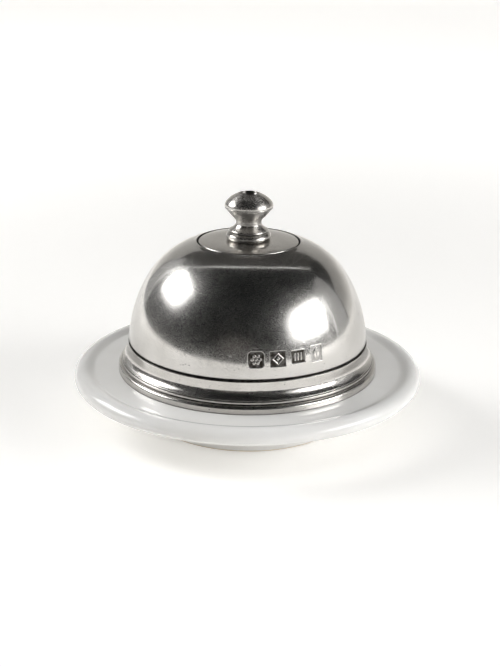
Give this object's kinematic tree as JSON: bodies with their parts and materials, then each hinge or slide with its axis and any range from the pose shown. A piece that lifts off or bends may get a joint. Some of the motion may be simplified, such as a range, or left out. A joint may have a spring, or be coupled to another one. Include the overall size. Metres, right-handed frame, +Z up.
{
  "type": "covered butter dish",
  "caption": "Round covered butter dish: a pewter dome with a turned knob lifts off a shallow glazed ceramic dish with a sunken well.",
  "frame": {"origin": "centre of the foot ring, on the surface the dish stands on", "axes": "+Z up along the turning axis, -Y to the front where the struck marks are"},
  "size_m": [0.1416, 0.1416, 0.093],
  "materials": {
    "glazed_ceramic": "clear gloss glaze over white earthenware, unglazed on the foot ring",
    "pewter_dome": "polished pewter with fine scratches and struck marks",
    "pewter_moulding": "polished pewter, dark in the turned lines",
    "pewter_disc": "polished pewter with faint turning marks",
    "pewter_knob": "polished turned pewter, dark in the grooves",
    "fixing_steel": "plain turned steel"
  },
  "bodies": {
    "dish": {"ceramic_dish": "glazed_ceramic"},
    "dome": {"dome_shell": "pewter_dome", "base_moulding": "pewter_moulding", "crown_disc": "pewter_disc", "knob": "pewter_knob", "knob_washer": "fixing_steel", "knob_screw": "fixing_steel"}
  },
  "joints": [
    {"name": "dome_lift", "type": "slide", "parent": "dish", "child": "dome", "axis": [0, 0, 1], "range_m": [0, 0.1]}
  ]
}
